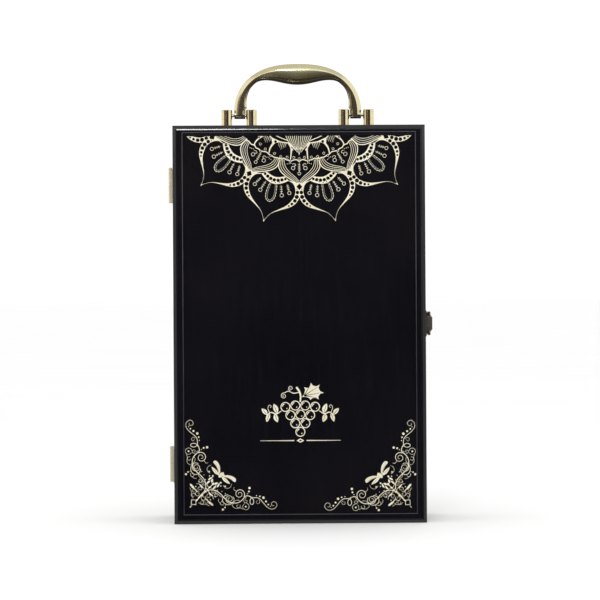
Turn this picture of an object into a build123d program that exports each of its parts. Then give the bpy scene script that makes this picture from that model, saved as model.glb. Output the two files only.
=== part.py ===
from build123d import *
from math import cos, hypot, radians, sin
import os

# Two-bottle wine box standing upright. X points to the latch side, -Y to the front, Z up.
# The origin is the centre of the underside. All sizes are in millimetres.

# Outside of the box
box_width = 225.0
box_height = 355.0
box_depth = 112.0
lid_depth = 34.0
parting_gap = 0.4
board = 9.0
edge_bevel = 3.0
bevel_round = 0.7
rim_round = 0.8

# Front and back panels, held by a tongue in a groove of the frame boards
panel_thickness = 6.0
panel_recess = 1.0
tongue_thickness = 3.0
tongue_length = 3.0
groove_fit = 0.1

# Bottle tray
tray_clearance = 0.3
tray_setback = 2.0
tray_wall = 3.0
tray_roof = 10.0
neck_radius = 17.5
bay_body_length = 196.0
bay_shoulder_length = 44.0
bay_side_wall = 11.0
bay_rib = 26.4
bay_edge_round = 2.0

# Lid lining
pad_board_thickness = 2.0
pad_board_clearance = 0.5
pad_gap = 0.3
pad_margin = 2.0
pad_thickness = 12.5
pad_edge_thickness = 6.0
pad_side_draw = 1.2
pad_corner = 6.0

# Hinges
hinge_inset = 52.0
hinge_length = 32.0
knuckle_count = 4
knuckle_gap = 0.2
barrel_radius = 2.2
barrel_clearance = 0.3
hinge_pin_radius = 1.0
running_fit = 0.05
leaf_thickness = 1.0
leaf_width = 15.0
leaf_set_back = 2.0
leaf_corner = 1.5
hinge_screw_spacing = 20.0

# Countersunk wood screws
screw_radius = 1.2
screw_head_radius = 2.3
screw_length = 8.0
screw_tip = 1.6
screw_fit = 0.05
slot_length = 2.6
slot_width = 0.5
slot_depth = 0.5

# Handle posts, their screws and the pivot pins
pivot_span = 106.4
post_spacing = 22.5
post_radius = 5.1
post_height = 17.3
post_edge = 0.5
pin_height = 12.2
handle_pin_radius = 1.25
pin_seat = 4.0
post_screw_radius = 2.0
post_screw_reach = 8.5
post_bore_spare = 0.5
post_screw_hole_gap = 0.2
pan_head_radius = 3.8
pan_head_height = 2.8
washer_radius = 5.0
washer_thickness = 0.8

# Handle casting: a full arch outside, with a thickness that swells to a grip inside
foot_width = 10.5
foot_offset = 0.5
foot_barrel_radius = 3.1
foot_barrel_width = 10.0
foot_step = 0.4
leg_depth = 8.0
leg_straight = 5.2
leg_thickness = 11.9
leg_taper_angle = 42.0
arch_start = 2.6
handle_rise = 44.2
arch_side_power = 0.8
arch_top_power = 0.97
shoulder_thickness = 7.3
grip_thickness = 18.9
grip_half_length = 42.0
grip_depth = 14.0
grip_depth_half_length = 46.0
handle_corner = 2.2
grip_swell_power = 1.5
grip_depth_power = 1.5

# Toggle latch: base plate with ears, lever, wire bail and the catch plate on the lid
latch_height = 23.2
latch_corner = 1.5
latch_base_thickness = 1.2
latch_base_width = 17.0
latch_base_set_back = 1.2
latch_screw_inset = 3.4
latch_screw_spacing = 17.0
catch_thickness = 1.5
catch_width = 17.0
catch_set_back = 2.0
tongue_height = 12.0
tongue_rise = 1.45
tongue_sheet = 1.0
catch_clearance = 0.15
lever_height = 12.6
lever_pivot_offset = 5.5
lever_pivot_rise = 4.8
lever_pin_radius = 0.9
lever_hub_radius = 2.2
lever_length = 15.5
lever_thickness = 1.6
lever_lip = 2.0
lever_tip_corner = 4.0
ear_gap = 0.2
ear_thickness = 1.2
pin_head_radius = 1.4
pin_head_height = 0.5
bail_wire_radius = 1.25
bail_crank = 4.4
bail_length = 19.9
bail_bend = 2.3
bail_stub = 2.3

# Places worked out from the sizes above
half_width = box_width / 2
front_y = -box_depth / 2
back_y = box_depth / 2
mid_z = box_height / 2
parting_y = front_y + lid_depth
lid_rim_y = parting_y - parting_gap / 2
body_rim_y = parting_y + parting_gap / 2
inner_half_width = half_width - board
inner_top_z = box_height - board
front_panel_back_y = front_y + panel_recess + panel_thickness
back_panel_front_y = back_y - panel_recess - panel_thickness

os.makedirs("parts", exist_ok=True)


def save(part, label):
    part.label = label
    export_step(part, f"parts/{label}.step")


# Frame boards. Each side gives the plane of the cross-section at one end, with its x
# pointing into the box and its y along Y, and the board's length.
section_planes = {
    "bottom": (Plane((half_width, 0, 0), x_dir=(0, 0, 1), z_dir=(-1, 0, 0)), box_width),
    "latch": (Plane((half_width, 0, box_height), x_dir=(-1, 0, 0), z_dir=(0, 0, -1)), box_height),
    "top": (Plane((-half_width, 0, box_height), x_dir=(0, 0, -1), z_dir=(1, 0, 0)), box_width),
    "hinge": (Plane((-half_width, 0, 0), x_dir=(1, 0, 0), z_dir=(0, 0, 1)), box_height),
}
outer_corners = [(-half_width, 0), (half_width, 0), (half_width, box_height), (-half_width, box_height)]
inner_corners = [
    (-inner_half_width, board),
    (inner_half_width, board),
    (inner_half_width, inner_top_z),
    (-inner_half_width, inner_top_z),
]


# One mitred board: bevelled where it meets the outside face, lightly rounded at its rim
# and grooved for the panel. The drills are planes on its outer face, cut to a depth.
def frame_board(side, outside_y, rim_y, drills, drill_radius, drill_depth):
    plane, length = section_planes[side]
    inward = 1 if rim_y > outside_y else -1
    groove_y = outside_y + inward * (panel_recess + panel_thickness - tongue_thickness / 2)
    first = list(section_planes).index(side)
    second = (first + 1) % len(outer_corners)
    with BuildPart() as made:
        with BuildSketch(plane) as section:
            with BuildLine():
                Polyline(
                    (0, outside_y + inward * edge_bevel),
                    (edge_bevel, outside_y),
                    (board, outside_y),
                    (board, rim_y),
                    (0, rim_y),
                    close=True,
                )
            make_face()
            fillet([v for v in section.vertices() if abs(v.Y - rim_y) < edge_bevel], rim_round)
            fillet([v for v in section.vertices() if abs(v.Y - outside_y) < 2 * edge_bevel], bevel_round)
            with Locations((board, groove_y)):
                groove = (2 * (tongue_length + groove_fit), tongue_thickness + groove_fit)
                Rectangle(*groove, mode=Mode.SUBTRACT)
        extrude(amount=length)
        with BuildSketch(Plane.XZ):
            with BuildLine():
                Polyline(
                    outer_corners[first],
                    outer_corners[second],
                    inner_corners[second],
                    inner_corners[first],
                    close=True,
                )
            make_face()
        extrude(amount=box_depth, both=True, mode=Mode.INTERSECT)
        for drill in drills:
            with Locations(drill):
                top = (Align.CENTER, Align.CENTER, Align.MAX)
                Cylinder(drill_radius, drill_depth, align=top, mode=Mode.SUBTRACT)
    return made.part


# A panel with a tongue all round on its inner half
def panel(outside_y, inward):
    face_y = outside_y + inward * panel_recess
    inner_y = face_y + inward * panel_thickness
    width = 2 * (inner_half_width - groove_fit)
    height = box_height - 2 * (board + groove_fit)
    with BuildPart() as made:
        with Locations((0, (face_y + inner_y) / 2, mid_z)):
            Box(width, panel_thickness, height)
        with Locations((0, inner_y - inward * tongue_thickness / 2, mid_z)):
            Box(width + 2 * tongue_length, tongue_thickness, height + 2 * tongue_length)
    return made.part


# Countersunk wood screws with a crossed slot, one at each plane, heads level with it
def wood_screws(planes, sheet):
    top = (Align.CENTER, Align.CENTER, Align.MAX)
    shank = screw_length - sheet - screw_tip
    with BuildPart() as made:
        for plane in planes:
            with Locations(plane):
                Cone(screw_radius, screw_head_radius, sheet, align=top)
            with Locations(plane.offset(-sheet)):
                Cylinder(screw_radius, shank, align=top)
            with Locations(plane.offset(-sheet - shank)):
                Cone(screw_radius / 4, screw_radius, screw_tip, align=top)
            with Locations(plane):
                Box(slot_length, slot_width, 2 * slot_depth, mode=Mode.SUBTRACT)
                Box(slot_width, slot_length, 2 * slot_depth, mode=Mode.SUBTRACT)
    return made.part


# Screw places: on the face of a sheet that lies on the left or right side of the box
def side_planes(direction, sheet, places):
    x = direction * (half_width + sheet)
    return [Plane((x, y, z), x_dir=(0, 1, 0), z_dir=(direction, 0, 0)) for y, z in places]


hinge_heights = {"upper": box_height - hinge_inset, "lower": hinge_inset}
leaf_middle = leaf_set_back + leaf_width / 2
hinge_screw_heights = [
    z + end * hinge_screw_spacing / 2 for z in hinge_heights.values() for end in (-1, 1)
]
hinge_places = {
    way: [(parting_y + way * leaf_middle, z) for z in hinge_screw_heights] for way in (1, -1)
}
base_end_y = parting_y + latch_base_set_back + latch_base_width
catch_end_y = parting_y - catch_set_back - catch_width
latch_screw_heights = [mid_z + end * latch_screw_spacing / 2 for end in (-1, 1)]
base_places = [(base_end_y - latch_screw_inset, z) for z in latch_screw_heights]
catch_places = [(catch_end_y + latch_screw_inset, z) for z in latch_screw_heights]
drill_radius = screw_radius + screw_fit
drill_depth = screw_length + screw_fit

# Posts stand in two pairs, each pair either side of a foot of the handle
post_places = {
    "left_outer": -pivot_span / 2 - post_spacing / 2,
    "left_inner": -pivot_span / 2 + post_spacing / 2,
    "right_inner": pivot_span / 2 - post_spacing / 2,
    "right_outer": pivot_span / 2 + post_spacing / 2,
}
post_hole_radius = post_screw_radius + post_screw_hole_gap
post_planes = [Plane((x, 0, box_height)) for x in post_places.values()]

# Body frame
save(frame_board("top", back_y, body_rim_y, post_planes, post_hole_radius, 2 * board), "body_top_board")
save(frame_board("bottom", back_y, body_rim_y, [], drill_radius, drill_depth), "body_bottom_board")
body_hinge_drills = side_planes(-1, 0, hinge_places[1])
save(
    frame_board("hinge", back_y, body_rim_y, body_hinge_drills, drill_radius, drill_depth - leaf_thickness),
    "body_hinge_side",
)
base_drills = side_planes(1, 0, base_places)
save(
    frame_board("latch", back_y, body_rim_y, base_drills, drill_radius, drill_depth - latch_base_thickness),
    "body_latch_side",
)
save(panel(back_y, -1), "back_panel")

# Lid frame
save(frame_board("top", front_y, lid_rim_y, [], drill_radius, drill_depth), "lid_top_rail")
save(frame_board("bottom", front_y, lid_rim_y, [], drill_radius, drill_depth), "lid_bottom_rail")
lid_hinge_drills = side_planes(-1, 0, hinge_places[-1])
save(
    frame_board("hinge", front_y, lid_rim_y, lid_hinge_drills, drill_radius, drill_depth - leaf_thickness),
    "lid_hinge_stile",
)
catch_drills = side_planes(1, 0, catch_places)
save(
    frame_board("latch", front_y, lid_rim_y, catch_drills, drill_radius, drill_depth - catch_thickness),
    "lid_latch_stile",
)
save(panel(front_y, 1), "front_panel")

# Bottle tray: a moulded block with two bottle-shaped bays open to the front
tray_half_width = inner_half_width - tray_clearance
tray_bottom_z = board + tray_clearance
tray_top_z = inner_top_z - tray_clearance
tray_front_y = body_rim_y + tray_setback
tray_back_y = back_panel_front_y - tray_clearance
bay_radius = (tray_half_width - bay_side_wall - bay_rib / 2) / 2
bay_x = bay_rib / 2 + bay_radius
bay_y = tray_back_y - tray_wall - bay_radius
bay_floor_z = tray_bottom_z + tray_wall
shoulder_z = bay_floor_z + bay_body_length
neck_z = shoulder_z + bay_shoulder_length
bay_top_z = tray_top_z - tray_roof
pocket_depth = washer_thickness + pan_head_height + tray_clearance
pocket_reach = washer_radius + 2 * tray_clearance


# Half of a bay's bottle outline, from its floor up over the shoulder to the neck's end
def bay_side(middle_x, way):
    wide_x = middle_x + way * bay_radius
    narrow_x = middle_x + way * neck_radius
    Polyline((middle_x, bay_floor_z), (wide_x, bay_floor_z), (wide_x, shoulder_z))
    Spline((wide_x, shoulder_z), (narrow_x, neck_z), tangents=[(0, 1), (0, 1)])
    Polyline((narrow_x, neck_z), (narrow_x, bay_top_z), (middle_x, bay_top_z))


with BuildPart() as bottle_tray:
    with Locations((0, (tray_front_y + tray_back_y) / 2, (tray_bottom_z + tray_top_z) / 2)):
        Box(2 * tray_half_width, tray_back_y - tray_front_y, tray_top_z - tray_bottom_z)
    for middle_x in (-bay_x, bay_x):
        with BuildSketch(Plane.XZ.offset(-bay_y)):
            with BuildLine():
                bay_side(middle_x, 1)
                Line((middle_x, bay_top_z), (middle_x, bay_floor_z))
            make_face()
        revolve(axis=Axis((middle_x, bay_y, 0), (0, 0, 1)), mode=Mode.SUBTRACT)
        with BuildSketch(Plane.XZ.offset(-bay_y)):
            with BuildLine():
                bay_side(middle_x, 1)
                bay_side(middle_x, -1)
            make_face()
        extrude(amount=bay_y - tray_front_y + tray_wall, mode=Mode.SUBTRACT)
    front_face = bottle_tray.faces().filter_by(Axis.Y).sort_by(Axis.Y)[0]
    bay_edges = [edge for wire in front_face.inner_wires() for edge in wire.edges()]
    fillet(bay_edges, bay_edge_round)
    with Locations(*[(x, 0, tray_top_z) for x in (-pivot_span / 2, pivot_span / 2)]):
        Box(post_spacing + 2 * pocket_reach, 2 * pocket_reach, 2 * pocket_depth, mode=Mode.SUBTRACT)
save(bottle_tray.part, "bottle_tray")

# Lid lining: a board and a crowned pad whose sides draw in between the corners
pad_board_back_y = front_panel_back_y + pad_board_thickness
with BuildPart() as lid_pad_board:
    with Locations((0, (front_panel_back_y + pad_board_back_y) / 2, mid_z)):
        Box(
            2 * (inner_half_width - pad_board_clearance),
            pad_board_thickness,
            box_height - 2 * (board + pad_board_clearance),
        )
save(lid_pad_board.part, "lid_pad_board")

pad_front_y = pad_board_back_y + pad_gap
pad_half_width = inner_half_width - pad_margin
pad_low_z = board + pad_margin
pad_high_z = inner_top_z - pad_margin
pad_edge_y = pad_front_y + pad_edge_thickness
pad_crown_y = pad_front_y + pad_thickness

with BuildPart() as lid_pad:
    with BuildSketch(Plane.XZ.offset(-pad_front_y)) as pad_outline:
        with BuildLine():
            low_left = (-pad_half_width, pad_low_z)
            low_right = (pad_half_width, pad_low_z)
            high_right = (pad_half_width, pad_high_z)
            high_left = (-pad_half_width, pad_high_z)
            ThreePointArc(low_left, (0, pad_low_z + pad_side_draw), low_right)
            ThreePointArc(low_right, (pad_half_width - pad_side_draw, mid_z), high_right)
            ThreePointArc(high_right, (0, pad_high_z - pad_side_draw), high_left)
            ThreePointArc(high_left, (-pad_half_width + pad_side_draw, mid_z), low_left)
        make_face()
        fillet(pad_outline.vertices(), pad_corner)
    extrude(amount=-pad_thickness)
    with BuildSketch(Plane.XY):
        with BuildLine():
            Polyline(
                (-pad_half_width, pad_edge_y),
                (-pad_half_width, pad_front_y),
                (pad_half_width, pad_front_y),
                (pad_half_width, pad_edge_y),
            )
            ThreePointArc((pad_half_width, pad_edge_y), (0, pad_crown_y), (-pad_half_width, pad_edge_y))
        make_face()
    extrude(amount=box_height, mode=Mode.INTERSECT)
    with BuildSketch(Plane.YZ):
        with BuildLine():
            Polyline(
                (pad_edge_y, pad_low_z),
                (pad_front_y, pad_low_z),
                (pad_front_y, pad_high_z),
                (pad_edge_y, pad_high_z),
            )
            ThreePointArc((pad_edge_y, pad_high_z), (pad_crown_y, mid_z), (pad_edge_y, pad_low_z))
        make_face()
    extrude(amount=box_width, both=True, mode=Mode.INTERSECT)
save(lid_pad.part, "lid_pad")

# Hinges: each leaf carries every other knuckle on the common pin
hinge_axis_x = -half_width - barrel_radius - barrel_clearance
knuckle_pitch = hinge_length / knuckle_count


def hinge_leaf(middle_z, way, first_knuckle):
    low_z = middle_z - hinge_length / 2
    screw_planes = [
        plane
        for plane in side_planes(-1, leaf_thickness, hinge_places[way])
        if abs(plane.origin.Z - middle_z) < hinge_length / 2
    ]
    with BuildPart() as made:
        with BuildSketch(Plane.YZ.offset(-half_width)) as plate:
            with Locations((parting_y + way * leaf_middle, middle_z)):
                Rectangle(leaf_width, hinge_length)
            fillet(plate.vertices().sort_by(lambda v: way * v.X)[-2:], leaf_corner)
        extrude(amount=-leaf_thickness)
        for index in range(first_knuckle, knuckle_count, 2):
            with BuildSketch(Plane.XY.offset(low_z + index * knuckle_pitch + knuckle_gap / 2)):
                with Locations((hinge_axis_x, parting_y)):
                    Circle(barrel_radius)
                with Locations((-half_width - leaf_thickness / 2, parting_y + way * leaf_set_back / 2)):
                    Rectangle(leaf_thickness, leaf_set_back)
                with Locations((hinge_axis_x, parting_y)):
                    Circle(hinge_pin_radius + running_fit, mode=Mode.SUBTRACT)
            extrude(amount=knuckle_pitch - knuckle_gap)
        for plane in screw_planes:
            with Locations(plane):
                Cone(
                    screw_radius + screw_fit,
                    screw_head_radius + screw_fit,
                    leaf_thickness,
                    align=(Align.CENTER, Align.CENTER, Align.MAX),
                    mode=Mode.SUBTRACT,
                )
    return made.part


for name, middle_z in hinge_heights.items():
    save(hinge_leaf(middle_z, 1, 0), f"{name}_hinge_body_leaf")
    save(hinge_leaf(middle_z, -1, 1), f"{name}_hinge_lid_leaf")
    with BuildPart() as hinge_pin:
        with Locations((hinge_axis_x, parting_y, middle_z)):
            Cylinder(hinge_pin_radius, hinge_length)
    save(hinge_pin.part, f"{name}_hinge_pin")

save(wood_screws(side_planes(-1, leaf_thickness, hinge_places[1]), leaf_thickness), "hinge_body_screws")
save(wood_screws(side_planes(-1, leaf_thickness, hinge_places[-1]), leaf_thickness), "hinge_lid_screws")

# Handle posts, each bored below for its screw and across for the end of the pin
pin_z = box_height + pin_height
for name, post_x in post_places.items():
    pair_x = pivot_span / 2 if post_x > 0 else -pivot_span / 2
    facing = 1 if pair_x > post_x else -1
    with BuildPart() as post:
        with Locations((post_x, 0, box_height)):
            Cylinder(post_radius, post_height, align=(Align.CENTER, Align.CENTER, Align.MIN))
        chamfer(post.edges().sort_by(Axis.Z)[-1], post_edge)
        with Locations((post_x, 0, box_height)):
            Cylinder(
                post_screw_radius + screw_fit,
                post_screw_reach + post_bore_spare,
                align=(Align.CENTER, Align.CENTER, Align.MIN),
                mode=Mode.SUBTRACT,
            )
        with Locations(Plane((post_x + facing * post_radius, 0, pin_z), z_dir=(facing, 0, 0))):
            Cylinder(
                handle_pin_radius + running_fit,
                pin_seat,
                align=(Align.CENTER, Align.CENTER, Align.MAX),
                mode=Mode.SUBTRACT,
            )
    save(post.part, f"handle_post_{name}")

pin_length = post_spacing - 2 * post_radius + 2 * pin_seat
for name, pair_x in {"left": -pivot_span / 2, "right": pivot_span / 2}.items():
    with BuildPart() as handle_pin:
        with Locations(Plane((pair_x, 0, pin_z), z_dir=(1, 0, 0))):
            Cylinder(handle_pin_radius, pin_length)
    save(handle_pin.part, f"handle_pin_{name}")

post_list = list(post_places.values())
with BuildPart() as handle_screws:
    with Locations(*[(x, 0, inner_top_z - washer_thickness) for x in post_list]):
        Cylinder(pan_head_radius, pan_head_height, align=(Align.CENTER, Align.CENTER, Align.MAX))
        shank = washer_thickness + board + post_screw_reach
        Cylinder(post_screw_radius, shank, align=(Align.CENTER, Align.CENTER, Align.MIN))
    with Locations(*[(x, 0, inner_top_z - washer_thickness - pan_head_height) for x in post_list]):
        Box(2 * slot_length, 2 * slot_width, 2 * slot_depth, mode=Mode.SUBTRACT)
        Box(2 * slot_width, 2 * slot_length, 2 * slot_depth, mode=Mode.SUBTRACT)
save(handle_screws.part, "handle_screws")

with BuildPart() as handle_washers:
    with Locations(*[(x, 0, inner_top_z) for x in post_list]):
        top = (Align.CENTER, Align.CENTER, Align.MAX)
        Cylinder(washer_radius, washer_thickness, align=top)
        Cylinder(post_hole_radius, washer_thickness, align=top, mode=Mode.SUBTRACT)
save(handle_washers.part, "handle_washers")

# Handle casting. The angle runs from the left foot, over the crown at 90, to the right.
foot_x = pivot_span / 2 - foot_offset
handle_half_span = foot_x + foot_width / 2
arch_z = pin_z + arch_start


def handle_section(angle):
    side_angle = min(angle, 180 - angle)
    along, up = cos(radians(side_angle)), sin(radians(side_angle))
    way = -1 if angle < 90 else 1
    x = way * handle_half_span * along**arch_side_power
    z = handle_rise * up**arch_top_power
    outward_x = way * handle_rise * arch_top_power * up**arch_top_power * along**2
    outward_z = handle_half_span * arch_side_power * along**arch_side_power * up**2
    size = hypot(outward_x, outward_z)
    outward_x, outward_z = outward_x / size, outward_z / size
    taper = min(1, side_angle / leg_taper_angle)
    leg = (leg_thickness - shoulder_thickness) * cos(radians(90 * taper)) ** 2
    swelling = max(0, 1 - (x / grip_half_length) ** 2) ** grip_swell_power
    thickness = shoulder_thickness + leg + (grip_thickness - shoulder_thickness) * swelling
    widening = max(0, 1 - (x / grip_depth_half_length) ** 2) ** grip_depth_power
    depth = leg_depth + (grip_depth - leg_depth) * widening
    middle = (x - outward_x * thickness / 2, 0, arch_z + z - outward_z * thickness / 2)
    plane = Plane(middle, x_dir=(outward_x, 0, outward_z), z_dir=(outward_z, 0, -outward_x))
    return plane, thickness, depth


side_angles = [7, 12, 19, 27, 35, 43, 51, 59, 67, 75, 83]
arch_angles = side_angles + [90] + [180 - angle for angle in reversed(side_angles)]
foot_sections = [(-1, foot_step), (-1, leg_straight), (1, leg_straight), (1, foot_step)]
foot_planes = [
    Plane((way * foot_x, 0, pin_z + rise), x_dir=(way, 0, 0), z_dir=(0, 0, -way))
    for way, rise in foot_sections
]

with BuildPart() as carry_handle:
    for plane in foot_planes[:2]:
        with BuildSketch(plane):
            RectangleRounded(foot_width, leg_depth, handle_corner)
    for angle in arch_angles:
        plane, thickness, depth = handle_section(angle)
        with BuildSketch(plane):
            RectangleRounded(thickness, depth, handle_corner)
    for plane in foot_planes[2:]:
        with BuildSketch(plane):
            RectangleRounded(foot_width, leg_depth, handle_corner)
    loft()
    for way in (-1, 1):
        with Locations(Plane((way * foot_x, 0, pin_z), z_dir=(1, 0, 0))):
            Cylinder(foot_barrel_radius, foot_barrel_width)
            Cylinder(handle_pin_radius + running_fit, 2 * foot_width, mode=Mode.SUBTRACT)
save(carry_handle.part, "carry_handle")

# Toggle latch. Distances named rise are measured out from the latch side of the box.
lever_x = half_width + lever_pivot_rise
lever_y = parting_y + lever_pivot_offset
bail_x = half_width + catch_thickness + tongue_rise + catch_clearance + bail_wire_radius
bail_y = lever_y + bail_crank
bar_y = bail_y - bail_length
ear_inner = lever_height / 2 + ear_gap

with BuildPart() as latch_base:
    with BuildSketch(Plane.YZ.offset(half_width)):
        with Locations((base_end_y - latch_base_width / 2, mid_z)):
            RectangleRounded(latch_base_width, latch_height, latch_corner)
    extrude(amount=latch_base_thickness)
    for low_z in (mid_z - ear_inner - ear_thickness, mid_z + ear_inner):
        with BuildSketch(Plane.XY.offset(low_z)):
            with Locations((lever_x, lever_y)):
                Circle(lever_hub_radius)
            with Locations(((half_width + lever_x) / 2, lever_y)):
                Rectangle(lever_pivot_rise, 2 * lever_hub_radius)
            with Locations((lever_x, lever_y)):
                Circle(lever_pin_radius + running_fit, mode=Mode.SUBTRACT)
        extrude(amount=ear_thickness)
    for plane in side_planes(1, latch_base_thickness, base_places):
        with Locations(plane):
            Cone(
                screw_radius + screw_fit,
                screw_head_radius + screw_fit,
                latch_base_thickness,
                align=(Align.CENTER, Align.CENTER, Align.MAX),
                mode=Mode.SUBTRACT,
            )
save(latch_base.part, "latch_base")

with BuildPart() as latch_lever_pin:
    with Locations((lever_x, lever_y, mid_z)):
        Cylinder(lever_pin_radius, 2 * (ear_inner + ear_thickness))
    head_z = ear_inner + ear_thickness + pin_head_height / 2
    with Locations(*[(lever_x, lever_y, mid_z + way * head_z) for way in (-1, 1)]):
        Cylinder(pin_head_radius, pin_head_height)
save(latch_lever_pin.part, "latch_lever_pin")

arm_x = lever_x + lever_hub_radius - lever_thickness / 2
lip_x = arm_x + lever_lip
arm_y = lever_y + lever_length / 2
tip_y = lever_y + lever_length

with BuildPart() as latch_lever:
    with BuildSketch(Plane.XY.offset(mid_z - lever_height / 2)):
        with Locations((lever_x, lever_y), (bail_x, bail_y)):
            Circle(lever_hub_radius)
        with BuildLine():
            Polyline(
                (lip_x - lever_thickness / 2, tip_y),
                (lip_x, tip_y - lever_thickness / 2),
            )
            Spline(
                (lip_x, tip_y - lever_thickness / 2),
                (arm_x, arm_y),
                tangents=[(-1, -2), (0, -1)],
            )
            Polyline(
                (arm_x, arm_y),
                (lever_x + lever_hub_radius, lever_y),
                (lever_x - lever_hub_radius, lever_y),
                (bail_x - lever_hub_radius, bail_y),
                (arm_x - lever_thickness, arm_y + lever_thickness),
            )
            Spline(
                (arm_x - lever_thickness, arm_y + lever_thickness),
                (lip_x - lever_thickness / 2, tip_y),
                tangents=[(0, 1), (1, 1)],
            )
        make_face()
        with Locations((lever_x, lever_y)):
            Circle(lever_pin_radius + running_fit, mode=Mode.SUBTRACT)
        with Locations((bail_x, bail_y)):
            Circle(bail_wire_radius + running_fit, mode=Mode.SUBTRACT)
    extrude(amount=lever_height)
    with BuildSketch(Plane.YZ.offset(half_width)) as lever_plan:
        with Locations((lever_y - lever_hub_radius, mid_z)):
            reach = lever_hub_radius + lever_length
            Rectangle(reach, lever_height, align=(Align.MIN, Align.CENTER))
        fillet(lever_plan.vertices().sort_by(Axis.X)[-2:], lever_tip_corner)
    extrude(amount=2 * lip_x - 2 * half_width, mode=Mode.INTERSECT)
save(latch_lever.part, "latch_lever")

# The bail is one bent wire: a stub in the lever, an arm, the bar over the catch, and back
arm_z = latch_height / 2 - bail_wire_radius
stub_z = lever_height / 2 - bail_stub
with BuildPart() as latch_bail:
    with BuildLine(Plane.YZ.offset(bail_x)) as bail_path:
        FilletPolyline(
            (bail_y, mid_z + stub_z),
            (bail_y, mid_z + arm_z),
            (bar_y, mid_z + arm_z),
            (bar_y, mid_z - arm_z),
            (bail_y, mid_z - arm_z),
            (bail_y, mid_z - stub_z),
            radius=bail_bend,
        )
    with BuildSketch(Plane(bail_path.line @ 0, z_dir=bail_path.line % 0)):
        Circle(bail_wire_radius)
    sweep()
save(latch_bail.part, "latch_bail")

# Catch plate with a pressed tongue whose crown lies just under the bail's bar
catch_x = half_width + catch_thickness
crown_x = catch_x + tongue_rise
with BuildPart() as catch_plate:
    with BuildSketch(Plane.YZ.offset(half_width)):
        with Locations((catch_end_y + catch_width / 2, mid_z)):
            RectangleRounded(catch_width, latch_height, latch_corner)
    extrude(amount=catch_thickness)
    with BuildSketch(Plane.XY.offset(mid_z - tongue_height / 2)):
        with BuildLine():
            Spline(
                (catch_x, bar_y + 4 * tongue_sheet),
                (crown_x, bar_y + tongue_sheet),
                tangents=[(1, -1), (0, -1)],
            )
            Polyline(
                (crown_x, bar_y + tongue_sheet),
                (crown_x, bar_y - tongue_sheet),
                (crown_x - tongue_sheet / 2, bar_y - 1.5 * tongue_sheet),
                (crown_x - tongue_sheet, bar_y - tongue_sheet),
                (crown_x - tongue_sheet, bar_y + tongue_sheet),
                (catch_x - tongue_sheet / 2, bar_y + 2 * tongue_sheet),
                (catch_x - tongue_sheet / 2, bar_y + 4 * tongue_sheet),
                (catch_x, bar_y + 4 * tongue_sheet),
            )
        make_face()
    extrude(amount=tongue_height)
    for plane in side_planes(1, catch_thickness, catch_places):
        with Locations(plane):
            Cone(
                screw_radius + screw_fit,
                screw_head_radius + screw_fit,
                catch_thickness,
                align=(Align.CENTER, Align.CENTER, Align.MAX),
                mode=Mode.SUBTRACT,
            )
save(catch_plate.part, "catch_plate")

base_planes = side_planes(1, latch_base_thickness, base_places)
save(wood_screws(base_planes, latch_base_thickness), "latch_base_screws")
catch_planes = side_planes(1, catch_thickness, catch_places)
save(wood_screws(catch_planes, catch_thickness), "catch_screws")
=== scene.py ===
from math import atan2, copysign, cos, hypot, pi, radians, sin, tan

import bmesh
import bpy
import numpy as np
from mathutils import Matrix, Vector
from mathutils.geometry import delaunay_2d_cdt


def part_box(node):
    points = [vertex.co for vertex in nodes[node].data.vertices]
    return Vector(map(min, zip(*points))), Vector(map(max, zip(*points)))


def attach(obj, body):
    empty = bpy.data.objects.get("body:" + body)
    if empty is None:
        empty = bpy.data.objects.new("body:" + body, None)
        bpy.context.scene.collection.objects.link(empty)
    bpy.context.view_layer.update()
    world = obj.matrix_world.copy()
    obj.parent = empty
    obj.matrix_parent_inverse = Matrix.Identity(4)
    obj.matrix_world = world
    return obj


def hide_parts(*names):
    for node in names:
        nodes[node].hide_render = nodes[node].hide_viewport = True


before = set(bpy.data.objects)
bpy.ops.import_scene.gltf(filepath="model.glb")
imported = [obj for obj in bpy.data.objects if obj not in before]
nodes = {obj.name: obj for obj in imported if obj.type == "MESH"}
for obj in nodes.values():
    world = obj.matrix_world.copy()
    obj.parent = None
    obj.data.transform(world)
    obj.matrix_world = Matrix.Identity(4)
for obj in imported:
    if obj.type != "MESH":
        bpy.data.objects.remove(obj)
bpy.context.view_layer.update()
scene = bpy.context.scene
MM = 0.001

# ------------ camera
CAMERA_PLACE = (-0.035, -2.456, 0.1991)
CAMERA_YAW, CAMERA_ROLL = -0.843, -0.33
camera_data = bpy.data.cameras.new("camera")
camera_data.lens, camera_data.sensor_width = 161.85, 36.0
camera_data.clip_start, camera_data.clip_end = 0.05, 900.0
camera = bpy.data.objects.new("camera", camera_data)
scene.collection.objects.link(camera)
camera.matrix_world = (
    Matrix.Translation(CAMERA_PLACE)
    @ Matrix.Rotation(radians(CAMERA_YAW), 4, "Z")
    @ Matrix.Rotation(radians(90), 4, "X")
    @ Matrix.Rotation(radians(CAMERA_ROLL), 4, "Z")
)
scene.camera = camera
scene.view_settings.view_transform = "Standard"
scene.view_settings.look = "None"


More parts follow.
